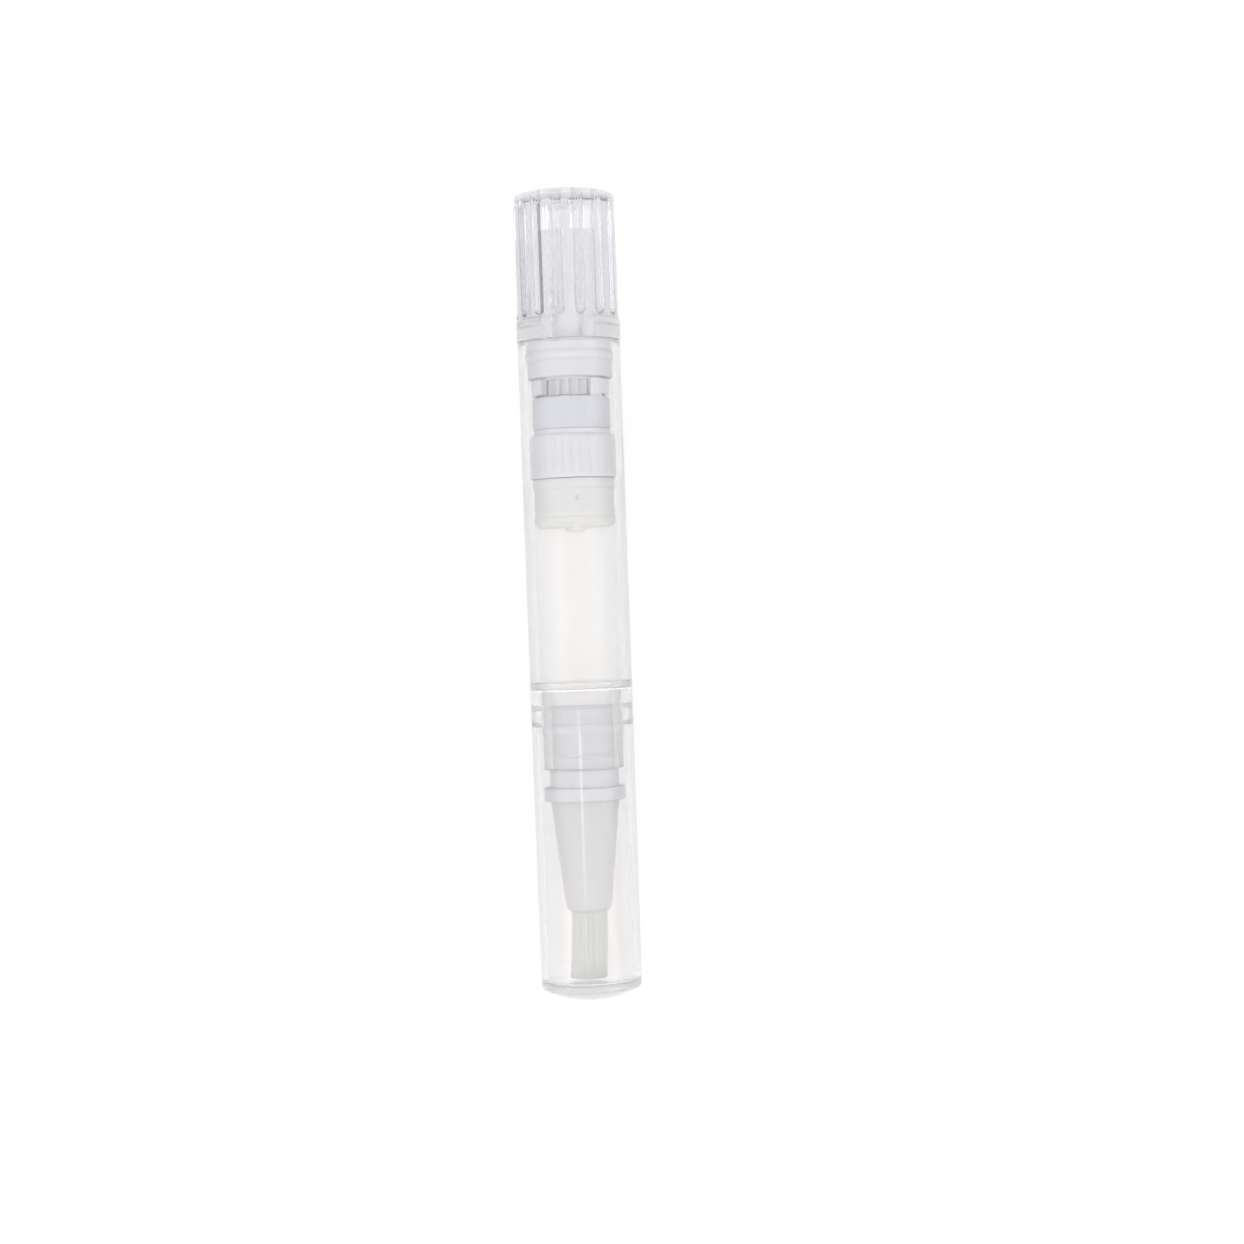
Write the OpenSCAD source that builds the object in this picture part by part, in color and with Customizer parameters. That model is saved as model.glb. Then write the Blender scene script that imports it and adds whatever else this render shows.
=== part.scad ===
// Twist-up oil pen with a pull-off cap, a brush and a screw-driven piston.
// The pen lies on its side: +X runs from the cap's dome to the knob's end,
// +Z is up, and the origin is under the middle, on the surface it lies on.
// Every module below draws its piece upright on its own axis: s, the height
// along the axis, is 0 at the cap's dome and grows towards the knob.

/* [Body] */
// Outer radius of the barrel
body_r = 6.05; // [5.9:0.05:6.1]
// Length of the barrel from the cap seam to its rear edge
body_l = 40.7; // [40:0.1:41.5]
// Radius of the oil chamber's bore
chamber_r = 4.88; // [4.84:0.01:4.9]
// Radius of the rear bore that holds the mechanism
rear_bore_r = 5.12; // [5.11:0.01:5.16]
// Distance from the cap seam to the end of the chamber
chamber_end = 24.6; // [24.6:0.1:24.8]

/* [Neck] */
// Outer radius of the neck under the cap
neck_r = 4.72; // [4.6:0.01:4.74]
// Length of the neck in front of the cap seam
neck_l = 9.45; // [9.3:0.05:9.6]
// Bore of the neck that holds the brush holder
neck_bore_r = 3.78; // [3.76:0.01:3.9]
// Crest radius of the snap bead around the neck
neck_bead_r = 4.86; // [4.8:0.01:4.87]

/* [Cap] */
// Length of the cap from the seam to the top of its dome
cap_l = 36.8; // [36.5:0.1:37.5]
// Outer radius at the cap's mouth
cap_mouth_r = 6.04; // [5.95:0.01:6.05]
// Outer radius at the cap's closed end
cap_end_r = 5.93; // [5.88:0.01:5.96]
// Radius of the sphere that the dome is part of
dome_sphere_r = 12.35; // [11:0.05:16]
// Thickness of the cap's end wall at its centre
cap_floor_t = 2.3; // [2.1:0.05:2.4]
// Inner radius at the cap's mouth
cap_bore_r = 5.22; // [5.15:0.01:5.3]

/* [Brush] */
// Distance from the dome to the tip of the bristles
bristle_tip_s = 2.6; // [2.5:0.1:6]
// Radius of the bristle bundle in the holder's mouth
bristle_r = 2.2; // [1.9:0.05:2.2]
// Radius of the bristle bundle at its tip
bristle_tip_r = 2.3; // [2.1:0.05:2.6]
// Distance from the dome to the mouth of the brush holder
holder_mouth_s = 10.5; // [10:0.1:11]
// Radius of the holder's cone where it meets the flange
cone_r = 4.05; // [3.6:0.05:4.1]
// Radius of the holder's flange
holder_flange_r = 4.8; // [4.6:0.05:4.9]

/* [Piston and screw] */
// Distance from the dome to the piston's front face, with the pen full
piston_s = 55.8; // [55.6:0.1:55.8]
// Crest radius of the piston's two sealing lips
piston_lip_r = 4.84; // [4.78:0.01:4.84]
// Crest radius of the screw thread
screw_r = 1.9; // [1.8:0.05:1.9]
// Distance between the screw's two flats
screw_flats = 2.7; // [2.5:0.1:2.7]
// Travel of the screw in one turn
screw_lead = 2.0; // [1.8:0.1:2.2]
// Length of the screw behind the piston's socket
screw_l = 31; // [30:0.5:32]

/* [Knob] */
// Radius over the knob's ribs
knob_r = 6.0; // [5.9:0.05:6.05]
// Radius of the knob's flange
knob_flange_r = 6.15; // [6.1:0.05:6.2]
// Thickness of the knob's flange
knob_flange_t = 2.6; // [2.3:0.1:2.8]
// Length of the ribbed grip
grip_l = 14.75; // [14:0.05:15.5]
// Number of grip grooves
groove_n = 15; // [12:1:16]
// Radius of the cutter that makes a grip groove
groove_r = 0.72; // [0.6:0.02:0.8]
// Depth of a grip groove
groove_d = 0.5; // [0.3:0.05:0.6]
// Depth of the drive bore, measured from the knob's end of the flange
drive_depth = 13.1; // [12.5:0.1:13.4]

/* [Ratchet] */
// Number of click teeth on the knob's sleeve
click_n = 20; // [16:1:24]
// Crest radius of the click teeth
click_r = 3.66; // [3.5:0.02:3.7]
// Outer radius of the ratchet ring
ratchet_r = 4.6; // [4.5:0.05:4.7]

/* [Hidden] */
$fn = 96;
eps = 0.02;
seam = cap_l;                                  // cap mouth and barrel shoulder
seam_gap = 0.05;                               // open seam between the two
rear = seam + body_l;                          // barrel's rear edge
flange_s = rear + 0.15;                        // front face of the knob's flange
grip_s = flange_s + knob_flange_t;             // where the ribs start
total = grip_s + grip_l;                       // overall length
neck_s = seam - neck_l;                        // front edge of the neck
step_s = seam + 0.7;                           // floor of the oil chamber
nut_s = seam + chamber_end;                    // shoulder that the nut seats on
nut_l = 5.8;
nut_top = nut_s + nut_l;
ratchet_s = nut_top + 0.05;
click_s = ratchet_s + 3.95;                    // click teeth, lower end
sleeve_end = ratchet_s + 0.4;
sleeve_r = 3.1;
core_r = screw_r - 0.45;                       // root radius of the thread
drive_r = screw_r + 0.1;                       // drive bore
drive_flats = screw_flats + 0.2;
head_s = piston_s + 1.7;                       // front of the screw's head
screw_s = head_s + 2.15;                       // screw body starts here
screw_end = screw_s + screw_l;
collar_s = neck_s - 2.15;                      // holder's collar, front end
holder_flange_s = collar_s - 1.6;
spigot_end = seam - 2.2;
root_s = holder_mouth_s + 6;                   // seat of the bristle root
thread_s = nut_s + 0.1;                        // first thread tooth
thread_n = 11;                                 // turns of thread on the screw
helix = atan(screw_lead / (2 * PI * (screw_r - 0.22)));

// lays the upright pen on its side, with the middle of its length at x = 0
module lay() translate([-total / 2, 0, knob_flange_r]) rotate([0, 90, 0]) children();

// solid of revolution from a flat outline in the half plane x >= 0
module rev() rotate_extrude() intersection() {
    translate([0, -5]) square([20, 120]);
    children();
}

// flat ring section: radii r0 to r1, heights s0 to s1, outer corners rounded
module band(r0, r1, s0, s1, f0, f1) {
    translate([r0, s0 + f0]) square([r1 - r0, s1 - s0 - f0 - f1]);
    translate([r0, s0]) square([r1 - r0 - f0, f0 + eps]);
    translate([r0, s1 - f1 - eps]) square([r1 - r0 - f1, f1 + eps]);
    if (f0 > 0) translate([r1 - f0, s0 + f0]) circle(r = f0);
    if (f1 > 0) translate([r1 - f1, s1 - f1]) circle(r = f1);
}

// trapezoid tooth of a thread at angle a, leaning with the helix;
// r0 is its wide side and r1 its narrow side
module thread_tooth(a, s, r0, r1, half_root, half_crest, w) {
    rotate([0, 0, a]) translate([0, 0, s + screw_lead * a / 360])
        rotate([helix, 0, 0]) rotate([90, 0, 0]) translate([0, 0, -w / 2])
            linear_extrude(height = w)
                polygon([[r0, -half_root], [r1, -half_crest], [r1, half_crest], [r0, half_root]]);
}

// ---- barrel -----------------------------------------------------------
module barrel_outline() {
    difference() {
        union() {
            band(0, body_r, seam, rear, 0.08, 0.16);
            band(0, neck_r, neck_s, seam + 0.5, 0.1, 0);
            translate([neck_bead_r - 3, seam - 4.5]) circle(r = 3);
        }
        // neck bore and chamber
        translate([0, neck_s - 1]) square([neck_bore_r, 12.5]);
        polygon([[0, step_s - 1.2], [neck_bore_r, step_s - 1.2], [neck_bore_r, step_s],
                 [chamber_r - 0.1, step_s], [chamber_r, step_s + 0.1],
                 [chamber_r, nut_s + eps], [0, nut_s + eps]]);
        translate([0, nut_s]) square([rear_bore_r, rear - nut_s + 1]);
        // entry chamfers
        polygon([[0, neck_s - 1], [neck_bore_r + 1.1, neck_s - 1], [neck_bore_r, neck_s + 0.1], [0, neck_s + 0.1]]);
        polygon([[0, rear + 1], [rear_bore_r + 1.1, rear + 1], [rear_bore_r, rear - 0.1], [0, rear - 0.1]]);
        // groove that the knob's snap bead runs in
        translate([0, flange_s - 2.5]) square([rear_bore_r + 0.2, 1.3]);
    }
}
module barrel() lay() color([0.93, 0.93, 0.94, 0.6]) {
    rev() barrel_outline();
    // two keys that stop the nut turning
    for (a = [90, 270]) rotate([0, 0, a])
        translate([4.74, -0.3, nut_s + 0.15]) cube([0.7, 0.6, 4.6]);
}

// ---- cap --------------------------------------------------------------
// the dome's edge: a small round tangent to the dome and to the side wall
edge_f = 0.5;
edge_r = cap_end_r - edge_f;
edge_s = dome_sphere_r - sqrt(pow(dome_sphere_r - edge_f, 2) - edge_r * edge_r);
dome_r = edge_r * dome_sphere_r / (dome_sphere_r - edge_f);
cap_top = seam - seam_gap;
cap_in_r = cap_bore_r - 0.1;
module cap_outline() {
    difference() {
        union() {
            intersection() {
                translate([0, dome_sphere_r]) circle(r = dome_sphere_r, $fn = 180);
                translate([0, -1]) square([dome_r, edge_s + 1 + eps]);
            }
            translate([edge_r, edge_s]) circle(r = edge_f);
            polygon([[0, edge_s], [cap_end_r, edge_s], [cap_mouth_r, cap_top - 0.08], [0, cap_top - 0.08]]);
            translate([0, cap_top - 0.08 - eps]) square([cap_mouth_r - 0.08, 0.08 + eps]);
            translate([cap_mouth_r - 0.08, cap_top - 0.08]) circle(r = 0.08);
        }
        // the inside, with a round at its floor
        polygon([[0, cap_floor_t + 0.35], [cap_in_r, cap_floor_t + 0.35], [cap_bore_r, cap_top + 1], [0, cap_top + 1]]);
        translate([0, cap_floor_t]) square([cap_in_r - 0.35, 1]);
        translate([cap_in_r - 0.35, cap_floor_t + 0.35]) circle(r = 0.35);
        polygon([[0, cap_top + 0.3], [cap_bore_r + 0.4, cap_top + 0.3], [cap_bore_r - eps, cap_top - 0.12], [0, cap_top - 0.12]]);
    }
    // snap bead that holds the cap behind the neck's bead
    intersection() {
        translate([7.92, seam - 3.15]) circle(r = 3);
        translate([4, seam - 4.6]) square([1.6, 2.9]);
    }
}
module cap() lay() color([0.94, 0.94, 0.93, 0.6]) rev() cap_outline();

// ---- knob -------------------------------------------------------------
module drive_section(r, f, h)
    intersection() {
        cylinder(r = r, h = h);
        translate([-f / 2, -r - 1, 0]) cube([f, 2 * r + 2, h]);
    }
module click_teeth() {
    step = 360 / click_n;
    linear_extrude(height = 1.8) polygon([for (i = [0 : click_n - 1]) each [
        [3.2 * cos(i * step), 3.2 * sin(i * step)],
        [click_r * cos((i + 0.72) * step), click_r * sin((i + 0.72) * step)],
        [click_r * cos((i + 0.88) * step), click_r * sin((i + 0.88) * step)]]]);
}
module knob_blank() {
    rev() {
        band(0, knob_flange_r, flange_s, grip_s, 0.2, 0.3);           // flange
        band(0, knob_r, grip_s - 1, total, 0, 0.42);                  // grip
        band(0, 5.0, flange_s - 4.4, flange_s + 1, 0.15, 0);          // stem
        translate([4.24, flange_s - 1.85]) circle(r = 1.0);           // snap bead
        band(0, 3.85, click_s + 1.8, flange_s, 0, 0);                 // sleeve, upper part
        band(0, sleeve_r, sleeve_end, click_s + 2, 0.15, 0);          // sleeve, drive part
    }
    translate([0, 0, click_s]) click_teeth();
}
// a grip groove: a round-bottomed cut that runs out in a ball end
module groove() translate([knob_r - groove_d + groove_r, 0, 0]) {
    translate([0, 0, grip_s + 0.75]) cylinder(r = groove_r, h = grip_l + 2, $fn = 32);
    translate([0, 0, grip_s + 0.75]) sphere(r = groove_r, $fn = 32);
}
module knob() lay() color([0.9, 0.91, 0.95, 0.5]) difference() {
    knob_blank();
    for (i = [0 : groove_n - 1]) rotate([0, 0, 172 + i * 360 / groove_n]) groove();
    // drive bore, blind towards the knob's end
    translate([0, 0, sleeve_end - 1]) drive_section(drive_r, drive_flats, grip_s + drive_depth - sleeve_end + 1);
}

// ---- thread nut -------------------------------------------------------
module thread_nut() lay() color([0.9, 0.89, 0.95]) {
    difference() {
        rev() difference() {
            union() {
                band(0, rear_bore_r - 0.03, nut_s + 0.05, nut_top - 0.5, 0.06, 0.8);
                band(0, 4.5, nut_top - 2, nut_top, 0, 0);
            }
            translate([0, nut_s - 1]) square([screw_r + 0.14, nut_l + 2]);
            translate([0, nut_s - 1]) square([2.75, 1.5]);
        }
        // keyways for the barrel's keys
        for (a = [90, 270]) rotate([0, 0, a])
            translate([4.62, -0.38, nut_s - 1]) cube([1, 0.76, nut_l + 1]);
        // fine splines around the outside
        for (i = [0 : 31]) if (i % 16 != 8) rotate([0, 0, i * 11.25])
            translate([rear_bore_r + 0.1, 0, nut_s + 0.6]) cylinder(r = 0.22, h = nut_l, $fn = 16);
        // two slots that the ratchet ring is keyed into
        translate([-0.62, -5.3, nut_top - 0.8]) cube([1.24, 10.6, 1.6]);
    }
    // inner thread: teeth on four sides, in the screw's grooves
    intersection() {
        difference() {
            translate([0, 0, nut_s + 0.1]) cylinder(r = screw_r + 0.5, h = nut_l - 1);
            translate([0, 0, nut_s]) cylinder(r = core_r + 0.13, h = nut_l);
        }
        for (a = [0 : 90 : 270], n = [0 : 1])
            thread_tooth(a, thread_s + (n + 0.5) * screw_lead, screw_r + 0.4, core_r - 0.1, 0.42, 0.2, 2.1);
    }
}

// ---- ratchet ring -----------------------------------------------------
module sector(a0, a1) linear_extrude(height = 200)
    polygon([[0, 0], [12 * cos(a0), 12 * sin(a0)],
             [12 * cos((a0 + a1) / 2), 12 * sin((a0 + a1) / 2)], [12 * cos(a1), 12 * sin(a1)]]);
module arm_ring(s0, s1) translate([0, 0, s0]) difference() {
    cylinder(r = ratchet_r, h = s1 - s0);
    translate([0, 0, -1]) cylinder(r = click_r + 0.4, h = s1 - s0 + 2);
}
module ratchet_ring() lay() color([0.88, 0.89, 0.93]) {
    rev() difference() {
        band(0, ratchet_r, ratchet_s, click_s - 0.2, 0, 0.3);
        translate([0, ratchet_s - 1]) square([sleeve_r + 0.2, 8]);
    }
    for (a = [0, 180]) rotate([0, 0, a]) {
        // two spring arms round the click teeth, joined to the ring at one end
        intersection() {
            arm_ring(click_s + 0.1, click_s + 1.8);
            sector(31, 137);
        }
        intersection() {
            arm_ring(click_s - 0.35, click_s + 0.3);
            sector(31, 51);
        }
        // pawl tip, just clear of the click teeth
        rotate([0, 0, 131]) translate([click_r + 0.14, -0.35, click_s + 0.1]) cube([0.7, 0.7, 1.7]);
    }
    // two dogs in the nut's slots
    for (a = [90, 270]) rotate([0, 0, a])
        translate([sleeve_r + 0.25, -0.52, nut_top - 0.7]) cube([0.78, 1.04, 0.95]);
}

// ---- screw rod --------------------------------------------------------
module screw_rod() lay() color([0.95, 0.95, 0.96]) {
    // head that turns in the piston's socket
    rev() {
        band(0, 1.75, head_s, head_s + 1.15, 0.35, 0.2);
        band(0, 1.12, head_s + 0.5, screw_s + 0.2, 0, 0);
    }
    intersection() {
        union() {
            translate([0, 0, screw_s]) cylinder(r = core_r, h = screw_l - 4);
            translate([0, 0, screw_s]) cylinder(r = screw_r, h = 0.9);
            translate([0, 0, screw_end - 7.1]) cylinder(r = screw_r, h = 6.75);
            translate([0, 0, screw_end - 0.35]) cylinder(r1 = screw_r, r2 = screw_r - 0.35, h = 0.35);
            for (a = [90, 270], n = [0 : thread_n - 1])
                thread_tooth(a, thread_s + n * screw_lead, core_r - 0.3, screw_r + 0.02, 0.56, 0.3, 3.4);
        }
        cylinder(r = screw_r, h = 200);
        translate([-screw_flats / 2, -3, 0]) cube([screw_flats, 6, 200]);
    }
}

// ---- piston -----------------------------------------------------------
module piston() lay() color([0.92, 0.92, 0.91]) difference() {
    rev() piston_outline();
    // dimple where the mould was filled
    rotate([0, 0, 184]) translate([4.82, 0, piston_s + 4.15 - 0.9]) sphere(r = 0.3, $fn = 32);
}
module piston_outline() difference() {
    union() {
        polygon([[0, piston_s], [4.25, piston_s], [piston_lip_r, piston_s + 0.45], [piston_lip_r, piston_s + 0.95],
                 [4.7, piston_s + 1.2], [4.7, piston_s + 4.3], [piston_lip_r, piston_s + 4.55],
                 [piston_lip_r, piston_s + 5.53], [piston_lip_r - 0.06, piston_s + 5.59], [0, piston_s + 5.59]]);
        band(0, 1.1, piston_s - 0.45, piston_s + 1, 0.2, 0);          // nose
    }
    // groove around the front face
    translate([3.3, piston_s]) circle(r = 0.3);
    // socket for the screw's head
    translate([0, head_s - 0.12]) square([1.9, 1.4]);
    translate([0, head_s + 1]) square([1.26, 2]);
    translate([0, screw_s - 0.15]) square([2.15, 3]);
    // lightening groove that leaves the rear lip springy
    translate([3.1, piston_s + 3.2]) square([0.85, 3]);
}

// ---- brush holder -----------------------------------------------------
module brush_holder() lay() color([0.9, 0.9, 0.93]) {
    rev() difference() {
        union() {
            translate([1.94, holder_mouth_s + 0.8]) circle(r = 0.8);
            polygon([[0, holder_mouth_s + 0.72], [2.736, holder_mouth_s + 0.723],
                     [cone_r, holder_flange_s + 0.1], [0, holder_flange_s + 0.1]]);
            band(0, holder_flange_r, holder_flange_s, collar_s, 0.22, 0.22);
            band(0, 4.08, collar_s - 0.5, neck_s - 0.05, 0, 0.1);
            polygon([[0, neck_s - 0.5], [neck_bore_r - 0.16, neck_s - 0.5], [neck_bore_r - 0.16, spigot_end - 0.4],
                     [neck_bore_r - 0.5, spigot_end], [0, spigot_end]]);
            // two sealing ribs
            for (s = [neck_s + 1.6, spigot_end - 1.6]) translate([neck_bore_r - 0.37, s]) circle(r = 0.35);
        }
        translate([0, 0]) square([bristle_r + 0.03, 30]);
        translate([0, root_s]) square([2.76, 30]);
    }
    // parting marks of the mould on the flange's rim
    for (a = [-6, 174]) rotate([0, 0, 180 + a])
        translate([holder_flange_r - 0.1, -0.06, holder_flange_s + 0.25]) cube([0.14, 0.12, 1.1]);
}

// ---- flow plug, feed tube and bristles --------------------------------
module flow_plug() lay() color([0.93, 0.93, 0.94]) rev() difference() {
    union() {
        band(0, 2.6, neck_s + 0.6, spigot_end - 0.6, 0.4, 0.2);
        for (s = [spigot_end - 1.35, spigot_end - 3.85]) translate([2.44, s]) circle(r = 0.3);
    }
    translate([0, neck_s]) square([0.63, 3.8]);                       // seat of the feed tube
    translate([0, neck_s]) square([0.35, 10]);                        // orifice
    polygon([[0, spigot_end - 0.6 + eps], [1.5, spigot_end - 0.6 + eps], [0.35, spigot_end - 1.6], [0, spigot_end - 1.6]]);
}
module feed_tube() lay() color([0.95, 0.95, 0.95]) rev()
    translate([0.34, 7]) square([0.26, neck_s + 3.75 - 7]);
module bristle_root() lay() color([0.87, 0.88, 0.84]) rev()
    difference() {
        band(0, 2.72, root_s + 0.03, root_s + 1.7, 0.1, 0.3);
        translate([0, root_s - 1]) square([0.63, 4]);
    }
module bristles() lay() color([0.84, 0.85, 0.82]) rev()
    difference() {
        polygon([[0, bristle_tip_s + 0.1], [0.6, bristle_tip_s], [bristle_tip_r - 0.15, bristle_tip_s],
                 [bristle_tip_r, bristle_tip_s + 0.15], [bristle_r, holder_mouth_s], [bristle_r, root_s], [0, root_s]]);
        translate([0, 6.9]) square([0.63, 20]);
    }

barrel();
cap();
knob();
thread_nut();
ratchet_ring();
screw_rod();
piston();
brush_holder();
flow_plug();
feed_tube();
bristle_root();
bristles();
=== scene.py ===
"""A twist-up oil pen lying on a pale floor, seen from straight above."""
import math
import random

import bpy
from mathutils import Matrix, Vector


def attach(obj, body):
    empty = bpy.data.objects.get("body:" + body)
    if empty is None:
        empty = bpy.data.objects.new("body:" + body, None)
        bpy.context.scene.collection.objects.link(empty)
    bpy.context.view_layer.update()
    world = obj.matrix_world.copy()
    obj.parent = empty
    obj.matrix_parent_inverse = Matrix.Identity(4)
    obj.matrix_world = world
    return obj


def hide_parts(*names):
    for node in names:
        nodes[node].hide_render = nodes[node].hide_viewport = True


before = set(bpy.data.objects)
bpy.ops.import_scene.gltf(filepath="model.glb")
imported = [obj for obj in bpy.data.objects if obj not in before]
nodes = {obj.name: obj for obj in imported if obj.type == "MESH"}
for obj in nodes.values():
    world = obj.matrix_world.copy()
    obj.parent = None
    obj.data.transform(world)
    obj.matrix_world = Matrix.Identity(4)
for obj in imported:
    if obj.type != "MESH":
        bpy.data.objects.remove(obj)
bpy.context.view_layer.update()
scene = bpy.context.scene
MM = 0.001
AXIS_Z = 6.15 * MM            # height of the pen's axis above the floor


def at(s):
    """x of a place along the pen, s millimetres from the cap's dome."""
    return (s - 47.5) * MM


# ---------------------------------------------------------------- camera
# The picture plane holds the pen's axis. The axis leans 2.085 degrees to the
# left, and its middle sits left of and above the middle of the picture.
PX_PER_MM = 8.4496
CAM_D = 0.270
lean = math.radians(2.085)
cam_data = bpy.data.cameras.new("camera")
cam_data.sensor_width = 36.0
cam_data.lens = 36.0 * CAM_D / (1244 / PX_PER_MM * MM)
cam_data.clip_start = 0.01
cam_data.clip_end = 10
cam = bpy.data.objects.new("camera", cam_data)
scene.collection.objects.link(cam)
e = Vector((-math.sin(lean), math.cos(lean)))       # pen's +X in the picture
n = Vector((math.cos(lean), math.sin(lean)))        # pen's -Y in the picture
mid = Vector(((577.96 - 622) / PX_PER_MM, (622 - 597.4) / PX_PER_MM))
cx, cy = -mid.dot(e), mid.dot(n)                    # picture's middle, in pen axes
right = Vector((e.x, -n.x, 0))
up = Vector((e.y, -n.y, 0))
cam.matrix_world = Matrix((
    (right.x, up.x, 0, cx * MM),
    (right.y, up.y, 0, cy * MM),
    (0, 0, 1, AXIS_Z + CAM_D),
    (0, 0, 0, 1)))
scene.camera = cam

# ---------------------------------------------------------------- light
scene.view_settings.view_transform = "Standard"
scene.view_settings.look = "None"
scene.cycles.max_bounces = 48
scene.cycles.transmission_bounces = 48
scene.cycles.transparent_max_bounces = 24
scene.cycles.diffuse_bounces = 12
scene.cycles.glossy_bounces = 24
scene.cycles.volume_bounces = 16
scene.cycles.sample_clamp_indirect = 6.0

world = bpy.data.worlds.new("studio")
scene.world = world
world.use_nodes = True
wn, wl = world.node_tree.nodes, world.node_tree.links
wn.clear()
w_out = wn.new("ShaderNodeOutputWorld")
w_bg = wn.new("ShaderNodeBackground")
w_co = wn.new("ShaderNodeTexCoord")
w_sep = wn.new("ShaderNodeSeparateXYZ")
wl.new(w_co.outputs["Generated"], w_sep.inputs[0])


def sky_ramp(socket, low, high, stops):
    """A grey ramp over one part of the view direction, from low to high."""
    span = wn.new("ShaderNodeMapRange")
    span.inputs["From Min"].default_value = low
    span.inputs["From Max"].default_value = high
    wl.new(socket, span.inputs["Value"])
    ramp = wn.new("ShaderNodeValToRGB")
    wl.new(span.outputs[0], ramp.inputs[0])
    bar = ramp.color_ramp
    for i, (pos, c) in enumerate(stops):
        el = bar.elements[i] if i < 2 else bar.elements.new((pos - low) / (high - low))
        el.position = (pos - low) / (high - low)
        el.color = (*(c if isinstance(c, tuple) else (c, c, c)), 1)
    return ramp.outputs[0]


def sky_mix(fac, low, high):
    """From low to high by a factor; both are colours or sockets."""
    m = wn.new("ShaderNodeMix")
    m.data_type = "RGBA"
    wl.new(fac, m.inputs["Factor"])
    for k, c in ((6, low), (7, high)):
        if isinstance(c, tuple):
            m.inputs[k].default_value = (*c, 1)
        else:
            wl.new(c, m.inputs[k])
    return m.outputs[2]


# A white tent that runs from a darker horizon up to a bright roof. Its two
# ends, along the pen, are a little brighter down to the floor.
SKY_TOP, SKY_HORIZON, SKY_END = (2.20, 2.20, 2.23), (1.30, 1.30, 1.32), (1.40, 1.40, 1.42)
rise = sky_ramp(w_sep.outputs["Z"], -0.1, 1.0, [(-0.1, 0.0), (1.0, 1.0), (0.06, 0.0), (0.28, 0.55), (0.5, 1.0)])
tent = sky_mix(rise, SKY_HORIZON, SKY_TOP)
ahead = wn.new("ShaderNodeMath")
ahead.operation = "ABSOLUTE"
wl.new(w_sep.outputs["X"], ahead.inputs[0])
ends = sky_ramp(ahead.outputs[0], 0, 1, [(0, 0.0), (1, 1.0), (0.55, 0.0), (0.80, 1.0)])
flat = sky_ramp(w_sep.outputs["Z"], 0, 1, [(0, 1.0), (1, 0.0), (0.30, 1.0), (0.60, 0.0)])
both = wn.new("ShaderNodeMath")
both.operation = "MULTIPLY"
wl.new(ends, both.inputs[0])
wl.new(flat, both.inputs[1])
tent = sky_mix(both.outputs[0], tent, SKY_END)

# A narrow strip light overhead draws a fine bright line down the cap.
side = sky_ramp(w_sep.outputs["Y"], -1, 1, [(-1, 0.0), (1, 0.0), (0.055, 0.0), (0.090, 1.0), (0.150, 1.0), (0.185, 0.0)])
fore = sky_ramp(w_sep.outputs["X"], -1, 1, [(-1, 0.0), (1, 0.0), (-0.145, 0.0), (-0.085, 1.0), (-0.049, 1.0), (-0.039, 0.0)])
over = sky_ramp(w_sep.outputs["Z"], 0, 1, [(0, 0.0), (1, 1.0), (0.90, 0.0), (0.95, 1.0)])
for extra in (fore, over):
    both = wn.new("ShaderNodeMath")
    both.operation = "MULTIPLY"
    wl.new(side, both.inputs[0])
    wl.new(extra, both.inputs[1])
    side = both.outputs[0]
tent = sky_mix(side, tent, (4.7, 4.7, 4.75))
wl.new(tent, w_bg.inputs["Color"])
wl.new(w_bg.outputs[0], w_out.inputs[0])
w_bg.inputs["Strength"].default_value = 1.0


def softbox(name, place, aim, size, power, tint=(1, 1, 1)):
    data = bpy.data.lights.new(name, "AREA")
    data.shape = "RECTANGLE"
    data.size, data.size_y = size
    data.energy = power
    data.color = tint
    ob = bpy.data.objects.new(name, data)
    scene.collection.objects.link(ob)
    ob.location = place
    ob.rotation_euler = (Vector(aim) - Vector(place)).to_track_quat("-Z", "Y").to_euler()
    return ob


softbox("key", (0.05, 0.42, 0.42), (0, 0, 0), (0.5, 0.35), 0.12)
softbox("fill", (-0.02, -0.45, 0.36), (0, 0, 0), (0.5, 0.3), 0.12)
softbox("top", (0.30, 0.0, 0.50), (0.0, 0, 0), (0.3, 0.3), 0.08)

# ---------------------------------------------------------------- floor


def mesh_object(name, verts, faces, smooth=True):
    me = bpy.data.meshes.new(name)
    me.from_pydata(verts, [], faces)
    me.update()
    if smooth:
        me.polygons.foreach_set("use_smooth", [True] * len(me.polygons))
    ob = bpy.data.objects.new(name, me)
    scene.collection.objects.link(ob)
    return ob


def new_material(name):
    m = bpy.data.materials.new(name)
    m.use_nodes = True
    nt = m.node_tree
    nt.nodes.clear()
    out = nt.nodes.new("ShaderNodeOutputMaterial")
    p = nt.nodes.new("ShaderNodeBsdfPrincipled")
    nt.links.new(p.outputs[0], out.inputs["Surface"])
    return m, nt, p, out


def noise(nt, scale, detail=3.0, rough=0.5, stretch=None, source=None):
    """A noise on object coordinates, in metres; stretch scales the axes."""
    co = nt.nodes.new("ShaderNodeTexCoord")
    tex = nt.nodes.new("ShaderNodeTexNoise")
    tex.inputs["Scale"].default_value = scale
    tex.inputs["Detail"].default_value = detail
    tex.inputs["Roughness"].default_value = rough
    if stretch:
        mp = nt.nodes.new("ShaderNodeMapping")
        mp.inputs["Scale"].default_value = stretch
        nt.links.new(co.outputs["Object"], mp.inputs["Vector"])
        nt.links.new(mp.outputs[0], tex.inputs["Vector"])
    else:
        nt.links.new(co.outputs["Object"], tex.inputs["Vector"])
    return tex.outputs["Fac"]


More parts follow.
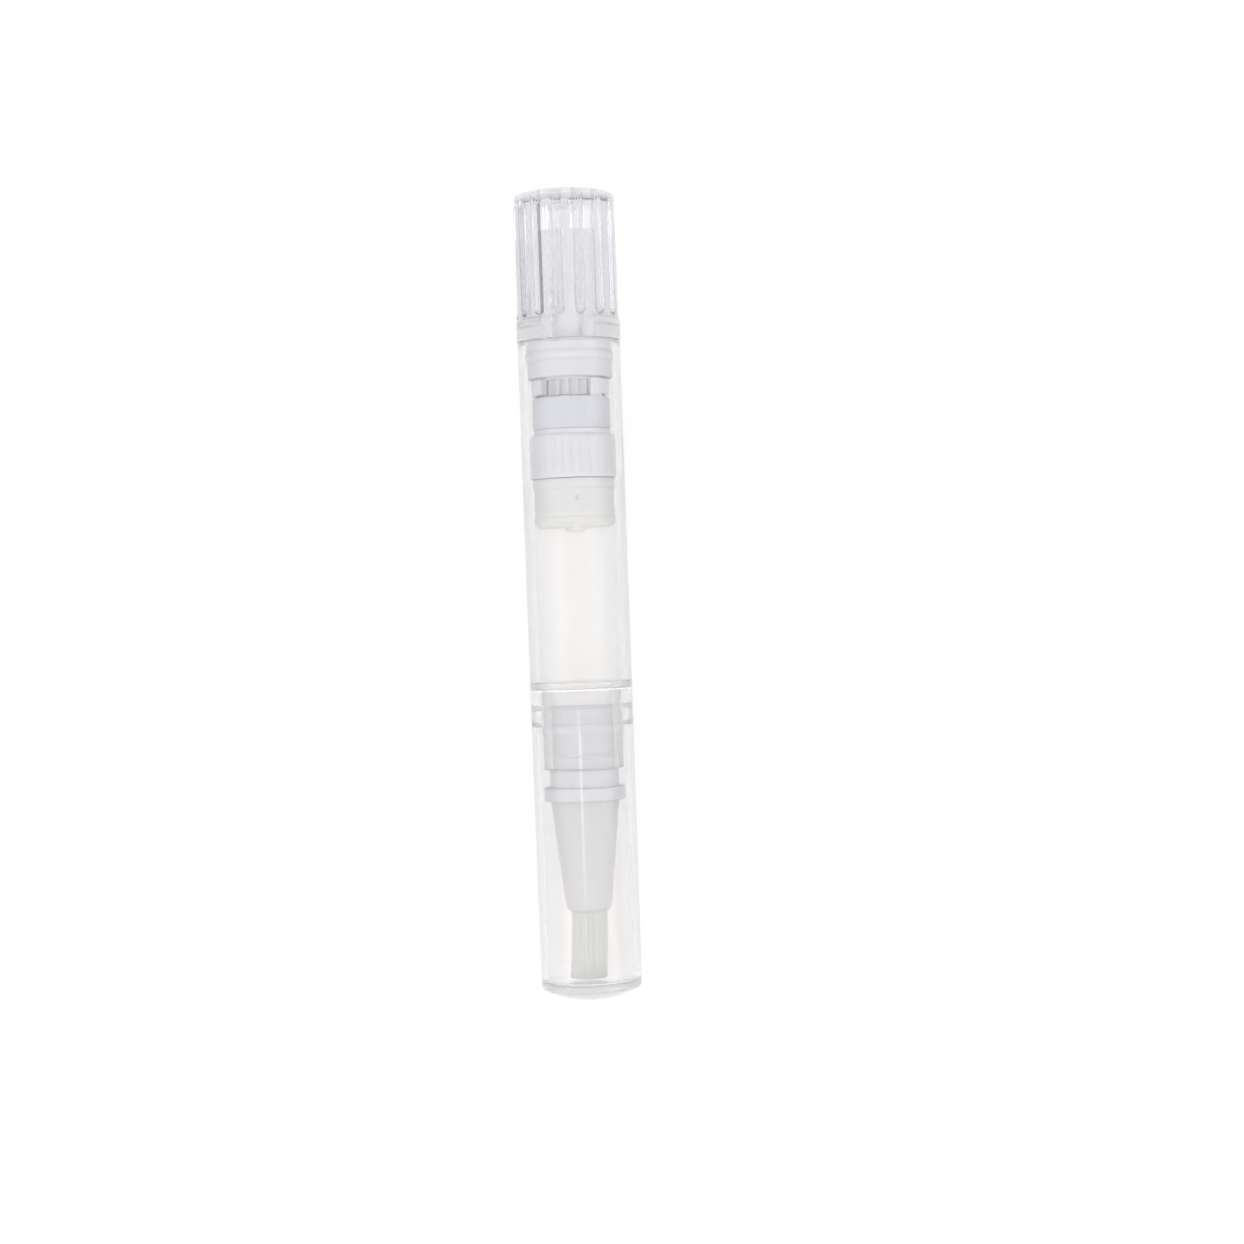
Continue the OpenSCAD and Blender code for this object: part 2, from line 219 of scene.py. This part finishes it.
def remap(nt, fac, lo, hi, f0=0.3, f1=0.7):
    m = nt.nodes.new("ShaderNodeMapRange")
    m.inputs["From Min"].default_value = f0
    m.inputs["From Max"].default_value = f1
    m.inputs["To Min"].default_value = lo
    m.inputs["To Max"].default_value = hi
    nt.links.new(fac, m.inputs["Value"])
    return m.outputs[0]


def two_tone(nt, fac, a, b):
    mix = nt.nodes.new("ShaderNodeMix")
    mix.data_type = "RGBA"
    nt.links.new(fac, mix.inputs["Factor"])
    mix.inputs[6].default_value = (*a, 1)
    mix.inputs[7].default_value = (*b, 1)
    return mix.outputs[2]


def add_bump(nt, p, fac, strength, distance):
    b = nt.nodes.new("ShaderNodeBump")
    b.inputs["Strength"].default_value = strength
    b.inputs["Distance"].default_value = distance
    nt.links.new(fac, b.inputs["Height"])
    nt.links.new(b.outputs[0], p.inputs["Normal"])
    return b


def absorb(nt, out, colour, density, haze=0.0, forward=0.6):
    """Tint that deepens with the path, and a milky haze inside the plastic."""
    v = nt.nodes.new("ShaderNodeVolumeAbsorption")
    v.inputs["Color"].default_value = (*colour, 1)
    v.inputs["Density"].default_value = density
    if not haze:
        nt.links.new(v.outputs[0], out.inputs["Volume"])
        return
    h = nt.nodes.new("ShaderNodeVolumeScatter")
    h.inputs["Color"].default_value = (0.965, 0.962, 0.980, 1)
    h.inputs["Density"].default_value = haze
    h.inputs["Anisotropy"].default_value = forward
    both = nt.nodes.new("ShaderNodeAddShader")
    nt.links.new(v.outputs[0], both.inputs[0])
    nt.links.new(h.outputs[0], both.inputs[1])
    nt.links.new(both.outputs[0], out.inputs["Volume"])


def plastic(name, light, dark, see_through, rough, ior=1.49, cloud=220.0,
            stretch=(0.35, 1, 1), bump=0.12, volume=None, grain=2600.0, vary=1.0):
    """Moulded plastic: a cloudy tone that runs along the flow, a roughness
    that varies with it and a fine skin from the tool's surface."""
    m, nt, p, out = new_material(name)
    flow = noise(nt, cloud, 3.0, 0.55, stretch)
    skin = noise(nt, grain, 2.0, 0.5, (0.25, 1, 1))
    nt.links.new(two_tone(nt, remap(nt, flow, 0, 1), light, dark), p.inputs["Base Color"])
    nt.links.new(remap(nt, skin, rough * (1 - 0.2 * vary), rough * (1 + 0.25 * vary)), p.inputs["Roughness"])
    p.inputs["IOR"].default_value = ior
    p.inputs["Transmission Weight"].default_value = see_through
    if bump:
        add_bump(nt, p, skin, bump, 0.00001)
    if volume:
        absorb(nt, out, *volume)
    return m, nt, p


floor = mesh_object("floor", [(-1.5, -1.5, 0), (1.5, -1.5, 0), (1.5, 1.5, 0), (-1.5, 1.5, 0)], [(0, 1, 2, 3)], False)
m, nt, p, out = new_material("pale_paper")
nt.links.new(two_tone(nt, remap(nt, noise(nt, 9.0, 4.0), 0, 1), (0.11, 0.11, 0.11), (0.10, 0.10, 0.101)), p.inputs["Base Color"])
p.inputs["Roughness"].default_value = 0.7
p.inputs["Specular IOR Level"].default_value = 0.2
# Paper lit from below, with a painted shadow under the pen: its glow is turned down there.
# Painted light: a warm strip down the middle of that shade stands in for the light the clear pen gathers.
co = nt.nodes.new("ShaderNodeTexCoord")
sep = nt.nodes.new("ShaderNodeSeparateXYZ")
nt.links.new(co.outputs["Object"], sep.inputs[0])


def floor_band(axis, start, full, centre=0.0):
    shift = nt.nodes.new("ShaderNodeMath")
    shift.operation = "SUBTRACT"
    shift.inputs[1].default_value = centre * MM
    nt.links.new(sep.outputs[axis], shift.inputs[0])
    off = nt.nodes.new("ShaderNodeMath")
    off.operation = "ABSOLUTE"
    nt.links.new(shift.outputs[0], off.inputs[0])
    band = nt.nodes.new("ShaderNodeMapRange")
    band.interpolation_type = "SMOOTHSTEP"
    band.inputs["From Min"].default_value = start * MM
    band.inputs["From Max"].default_value = full * MM
    nt.links.new(off.outputs[0], band.inputs["Value"])
    return band.outputs[0]


def both_ways(a, b):
    m = nt.nodes.new("ShaderNodeMath")
    m.operation = "MULTIPLY"
    nt.links.new(a, m.inputs[0])
    nt.links.new(b, m.inputs[1])
    return m.outputs[0]


length = floor_band("X", 46.5, 44.5)
# painted shadow: the floor's glow is lower in a band under the pen
shade = both_ways(floor_band("Y", 5.8, 3.6), length)


def floor_up_to(start, full):
    side = nt.nodes.new("ShaderNodeMapRange")
    side.inputs["From Min"].default_value = start * MM
    side.inputs["From Max"].default_value = full * MM
    nt.links.new(sep.outputs["X"], side.inputs["Value"])
    return side.outputs[0]


def tint_floor(fac, low, high):
    glow = nt.nodes.new("ShaderNodeMix")
    glow.data_type = "RGBA"
    nt.links.new(fac, glow.inputs["Factor"])
    for k, c in ((6, low), (7, high)):
        if isinstance(c, tuple):
            glow.inputs[k].default_value = (*c, 1)
        else:
            nt.links.new(c, glow.inputs[k])
    return glow.outputs[2]


# the painted warm strip stops short of the mechanism and the knob, which stand over plain paper
strip = both_ways(both_ways(floor_band("Y", 4.2, 2.0, 0.45), length), floor_up_to(14, 9))
# painted light: a warm tint on the floor's glow under the cap
under_cap = both_ways(both_ways(floor_band("Y", 5.4, 4.4), length), floor_up_to(-26, -34))
tone = tint_floor(strip, (1.0, 0.99, 0.98), (1.0, 0.92, 0.855))
tone = tint_floor(under_cap, tone, (1.0, 0.915, 0.89))
nt.links.new(tone, p.inputs["Emission Color"])
power = nt.nodes.new("ShaderNodeMath")
power.operation = "ADD"
nt.links.new(remap(nt, shade, 0.84, 0.76, 0, 1), power.inputs[0])
nt.links.new(remap(nt, strip, 0.0, 0.10, 0, 1), power.inputs[1])
nt.links.new(power.outputs[0], p.inputs["Emission Strength"])
floor.data.materials.append(m)

# ---------------------------------------------------------------- CAD pieces


def paint(node, material):
    ob = nodes[node]
    ob.data.materials.clear()
    ob.data.materials.append(material)


def radius_from_axis(nt):
    """Distance from the pen's axis in millimetres, from object coordinates."""
    co = nt.nodes.new("ShaderNodeTexCoord")
    sep = nt.nodes.new("ShaderNodeSeparateXYZ")
    nt.links.new(co.outputs["Object"], sep.inputs[0])
    z = nt.nodes.new("ShaderNodeMath")
    z.operation = "SUBTRACT"
    z.inputs[1].default_value = AXIS_Z
    nt.links.new(sep.outputs["Z"], z.inputs[0])
    vec = nt.nodes.new("ShaderNodeCombineXYZ")
    nt.links.new(sep.outputs["Y"], vec.inputs["Y"])
    nt.links.new(z.outputs[0], vec.inputs["Z"])
    ln = nt.nodes.new("ShaderNodeVectorMath")
    ln.operation = "LENGTH"
    nt.links.new(vec.outputs[0], ln.inputs[0])
    mm = nt.nodes.new("ShaderNodeMath")
    mm.operation = "MULTIPLY"
    mm.inputs[1].default_value = 1000.0
    nt.links.new(ln.outputs["Value"], mm.inputs[0])
    return mm.outputs[0], sep.outputs["X"]


def times(nt, a, b):
    m = nt.nodes.new("ShaderNodeMath")
    m.operation = "MULTIPLY"
    nt.links.new(a, m.inputs[0])
    nt.links.new(b, m.inputs[1])
    return m.outputs[0]


def within(nt, value, low, high, soft):
    """1 between low and high, fading to 0 over soft on both sides."""
    return times(nt, remap(nt, value, 0.0, 1.0, low - soft, low), remap(nt, value, 1.0, 0.0, high, high + soft))


def beside_ray(nt, degrees):
    """Distance in millimetres, with a sign, from the plane through the pen's
    axis at an angle from straight up, positive angles towards +Y."""
    co = nt.nodes.new("ShaderNodeTexCoord")
    off = nt.nodes.new("ShaderNodeVectorMath")
    off.operation = "SUBTRACT"
    off.inputs[1].default_value = (0, 0, AXIS_Z)
    nt.links.new(co.outputs["Object"], off.inputs[0])
    a = math.radians(degrees)
    both = []
    for direction in ((0, math.cos(a), -math.sin(a)), (0, math.sin(a), math.cos(a))):
        dot = nt.nodes.new("ShaderNodeVectorMath")
        dot.operation = "DOT_PRODUCT"
        dot.inputs[1].default_value = [1000 * c for c in direction]
        nt.links.new(off.outputs[0], dot.inputs[0])
        both.append(dot.outputs["Value"])
    return both


def blend_into(nt, socket, fac, value):
    """Mixes what feeds a socket with a value, by a factor."""
    mix = nt.nodes.new("ShaderNodeMix")
    colour = socket.type == "RGBA"
    mix.data_type = "RGBA" if colour else "FLOAT"
    a, b = (6, 7) if colour else (2, 3)
    if socket.is_linked:
        nt.links.new(socket.links[0].from_socket, mix.inputs[a])
    else:
        mix.inputs[a].default_value = socket.default_value
    mix.inputs[b].default_value = (*value, 1) if colour else value
    nt.links.new(fac, mix.inputs["Factor"])
    nt.links.new(mix.outputs[2 if colour else 0], socket)


barrel_m, nt, p = plastic("barrel_plastic", (0.997, 0.997, 1.0), (0.992, 0.992, 0.996), 0.99, 0.05,
                          bump=0.0, volume=((0.80, 0.81, 0.83), 60, 210, 0.6))
r_mm, along = radius_from_axis(nt)
# its cut face at the seam is a little milky
face = within(nt, along, at(36.70), at(36.90), 0.03 * MM)
blend_into(nt, p.inputs["Transmission Weight"], face, 0.7)
blend_into(nt, p.inputs["Base Color"], face, (0.92, 0.92, 0.92))
# the thick neck has a faint violet cast
blend_into(nt, p.inputs["Base Color"], remap(nt, along, 1.0, 0.0, at(36.5), at(36.7)), (0.982, 0.98, 0.993))
# the solid wall between the chamber and the seam scatters more, as the snap bead does
bead = times(nt, within(nt, along, at(31.2), at(34.4), 0.1 * MM), remap(nt, r_mm, 0.0, 1.0, 4.74, 4.80))
blend_into(nt, p.inputs["Transmission Weight"], bead, 0.9)
blend_into(nt, p.inputs["Transmission Weight"], within(nt, along, at(36.75), at(37.5), 0.03 * MM), 0.88)
paint("barrel", barrel_m)
cap_m, nt, p = plastic("cap_plastic", (0.997, 0.997, 1.0), (0.992, 0.992, 0.996), 0.99, 0.05,
                       bump=0.0, volume=((0.80, 0.81, 0.82), 60, 210, 0.6))
r_mm, along = radius_from_axis(nt)
face = within(nt, along, at(36.60), at(36.85), 0.03 * MM)
blend_into(nt, p.inputs["Transmission Weight"], face, 0.7)
blend_into(nt, p.inputs["Base Color"], face, (0.92, 0.92, 0.92))
# so do its thick dome and its snap bead
blend_into(nt, p.inputs["Transmission Weight"], remap(nt, along, 1.0, 0.0, at(2.1), at(2.3)), 0.9)
bead = times(nt, within(nt, along, at(32.2), at(35.2), 0.1 * MM), remap(nt, r_mm, 1.0, 0.0, 4.98, 5.02))
blend_into(nt, p.inputs["Transmission Weight"], bead, 0.9)
paint("cap", cap_m)


knob_m, nt, p = plastic("knob_plastic", (0.985, 0.985, 0.99), (0.97, 0.97, 0.98), 0.99, 0.02, ior=1.59,
                        cloud=1500.0, stretch=(0.003, 1, 1), bump=0.0, volume=((0.855, 0.857, 0.872), 150))
r_mm, along = radius_from_axis(nt)
# the bore's wall is satin as far as the rod reaches, and its blind end is polished
blend_into(nt, p.inputs["Roughness"], remap(nt, r_mm, 1.0, 0.0, 2.3, 2.5), 0.5)
blend_into(nt, p.inputs["Roughness"], remap(nt, along, 0.0, 1.0, at(90.6), at(90.8)), 0.04)
blend_into(nt, p.inputs["Roughness"], remap(nt, along, 0.0, 1.0, at(94.3), at(94.5)), 0.32)
blend_into(nt, p.inputs["Transmission Weight"], remap(nt, along, 0.0, 1.0, at(94.2), at(94.4)), 0.89)
# its flange is satin
flange = times(nt, remap(nt, along, 1.0, 0.0, at(80.5), at(80.7)), remap(nt, r_mm, 0.0, 1.0, 5.5, 5.7))
blend_into(nt, p.inputs["Roughness"], flange, 0.16)
ball_ends = times(nt, within(nt, r_mm, 5.4, 5.9, 0.05), within(nt, along, at(80.1), at(81.3), 0.1 * MM))
blend_into(nt, p.inputs["Roughness"], ball_ends, 0.35)
# painted shade: the grip grooves are coloured a little greyer than the ribs
grooves = times(nt, within(nt, r_mm, 5.4, 5.72, 0.12), remap(nt, along, 0.0, 1.0, at(80.3), at(81.0)))
blend_into(nt, p.inputs["Base Color"], grooves, (0.85, 0.855, 0.88))
# painted shade: two of them carry a dark streak in their colour, standing in for light that the clear knob bends away
# there
for degrees, wide, tone in ((31.0, 0.22, (0.20, 0.21, 0.24)), (60.5, 0.20, (0.45, 0.46, 0.49))):
    beside, out_there = beside_ray(nt, degrees)
    line = times(nt, within(nt, beside, -wide, wide, 0.06), remap(nt, out_there, 0.0, 1.0, 5.0, 5.2))
    line = times(nt, line, within(nt, along, at(80.7), at(93.3), 0.2 * MM))
    blend_into(nt, p.inputs["Base Color"], line, tone)
# the stem and the drive sleeve, inside the barrel, are milky
inside = remap(nt, along, 1.0, 0.0, at(77.2), at(77.6))
blend_into(nt, p.inputs["Base Color"], inside, (0.75, 0.75, 0.77))
blend_into(nt, p.inputs["Transmission Weight"], inside, 0.3)
blend_into(nt, p.inputs["Roughness"], inside, 0.4)
# painted shade on the click teeth: they are coloured darker than the knob
teeth = times(nt, within(nt, along, at(72.1), at(73.05), 0.25 * MM), remap(nt, r_mm, 0.0, 1.0, 3.25, 3.45))
blend_into(nt, p.inputs["Base Color"], teeth, (0.79, 0.79, 0.82))
paint("knob", knob_m)
nut_m, nt, p = plastic("nut_plastic", (0.656, 0.649, 0.679), (0.648, 0.641, 0.672), 0.12, 0.35, bump=0.03, vary=0.15)
paint("thread_nut", nut_m)
ratchet_m, nt, p = plastic("ratchet_plastic", (0.66, 0.665, 0.715), (0.65, 0.655, 0.70), 0.3, 0.12, ior=1.55, bump=0.04, vary=0.3)
r_mm, along = radius_from_axis(nt)
# painted light: the pawl arms are coloured lighter than the rest of the ring, standing in for the light that comes
# through them
arms = remap(nt, along, 0.0, 1.0, at(71.05), at(71.3))
blend_into(nt, p.inputs["Base Color"], arms, (0.78, 0.78, 0.81))
paint("ratchet_ring", ratchet_m)
rod_m, nt, p = plastic("rod_plastic", (0.815, 0.81, 0.81), (0.805, 0.80, 0.80), 0.05, 0.3, vary=0.3)
paint("screw_rod", rod_m)
piston_m, nt, p = plastic("piston_plastic", (0.69, 0.69, 0.685), (0.682, 0.682, 0.677), 0.15, 0.4, bump=0.03, vary=0.15)
r_mm, along = radius_from_axis(nt)
# painted light: the thin front lip is coloured lighter and a little yellow, standing in for the warm light that comes
# through it
blend_into(nt, p.inputs["Base Color"], remap(nt, along, 1.0, 0.0, at(57.3), at(57.6)), (0.72, 0.71, 0.665))
blend_into(nt, p.inputs["Base Color"], remap(nt, along, 1.0, 0.0, at(56.2), at(56.35)), (0.90, 0.885, 0.83))
paint("piston", piston_m)
holder_m, nt, p = plastic("holder_plastic", (0.560, 0.545, 0.533), (0.553, 0.538, 0.527), 0.12, 0.3, bump=0.02, vary=0.12)
r_mm, along = radius_from_axis(nt)
# the spigot in the neck is thinner than the cone; painted light: its colour is near white, far lighter than the cone's,
# standing in for the light that the neck's wall takes from it
spigot = remap(nt, along, 0.0, 1.0, at(27.25), at(27.5))
collar = within(nt, along, at(23.6), at(27.25), 0.1 * MM)
blend_into(nt, p.inputs["Base Color"], collar, (0.61, 0.60, 0.625))
blend_into(nt, p.inputs["Base Color"], spigot, (0.99, 0.985, 0.995))
paint("brush_holder", holder_m)
plug_m, nt, p = plastic("plug_plastic", (0.97, 0.97, 0.975), (0.95, 0.95, 0.96), 0.2, 0.3)
paint("flow_plug", plug_m)
tube_m, nt, p = plastic("tube_plastic", (0.93, 0.93, 0.93), (0.90, 0.90, 0.90), 0.4, 0.3)
paint("feed_tube", tube_m)
root_m, nt, p = plastic("root_plastic", (0.82, 0.83, 0.79), (0.78, 0.79, 0.75), 0.3, 0.35)
paint("bristle_root", root_m)

# ---------------------------------------------------------------- bristles
# A flat-cut bundle of nylon filaments in the space of the CAD bundle, round
# the feed tube. Each filament is a thin six-sided strand with a slight wave.
rng = random.Random(7)
TIP, MOUTH, ROOT = 2.62, 10.5, 16.45
R_TIP, R_MOUTH, TUBE = 2.28, 2.17, 0.62
STRAND = 0.075


def hex_rows(radius, pitch):
    rows = int(radius / (pitch * 0.866)) + 1
    for j in range(-rows, rows + 1):
        for i in range(-rows, rows + 1):
            x = (i + (j % 2) * 0.5) * pitch
            y = j * pitch * 0.866
            if math.hypot(x, y) <= radius:
                yield x, y


verts, faces = [], []
for hx, hy in hex_rows(R_MOUTH - STRAND, 0.157):
    hx += rng.uniform(-0.016, 0.016)
    hy += rng.uniform(-0.016, 0.016)
    rr = math.hypot(hx, hy)
    inner = rr < TUBE + STRAND
    ang = math.atan2(hy, hx)
    if rr > R_MOUTH - STRAND:
        rr = R_MOUTH - STRAND
    if inner and rr < 0.1:
        continue
    tip = TIP + rng.uniform(0.0, 0.09)
    swirl = rng.uniform(-0.004, 0.004)
    flare = R_TIP / R_MOUTH * rng.uniform(0.985, 1.0)
    base = len(verts)
    top = 6.9 if inner else ROOT            # the middle ones end at the feed tube
    steps = 4 if inner else 7
    for k in range(steps):
        s = tip + (top - tip) * k / (steps - 1)
        open_up = max(0.0, min(1.0, (MOUTH - s) / (MOUTH - TIP)))
        r = rr * (1 + (flare - 1) * open_up)
        a = ang + swirl * math.sin(2.1 * open_up)
        r = min(r, (R_TIP if s < MOUTH else R_MOUTH) - STRAND)
        px, py = r * math.cos(a), r * math.sin(a) + 0.3 * open_up ** 1.5     # leans a little
        for q in range(6):
            t = math.radians(60 * q)
            verts.append((at(s), (py + STRAND * math.sin(t)) * MM, AXIS_Z + (px + STRAND * math.cos(t)) * MM))
    for k in range(steps - 1):
        for q in range(6):
            a0, a1 = base + k * 6 + q, base + k * 6 + (q + 1) % 6
            faces.append((a0, a1, a1 + 6, a0 + 6))
    faces.append(tuple(base + q for q in range(6)))
    last = base + (steps - 1) * 6
    faces.append(tuple(last + 5 - q for q in range(6)))
filaments = mesh_object("bristle_filaments", verts, faces)
filaments.data.polygons.foreach_set("use_smooth", [len(f.vertices) == 4 for f in filaments.data.polygons])
bristle_m, nt, p = plastic("bristle_fibre", (0.73, 0.735, 0.70), (0.68, 0.685, 0.65), 0.2, 0.35, ior=1.53,
                           cloud=1500.0, stretch=(0.05, 1, 1))
filaments.data.materials.append(bristle_m)
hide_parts("bristles")
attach(filaments, "barrel")
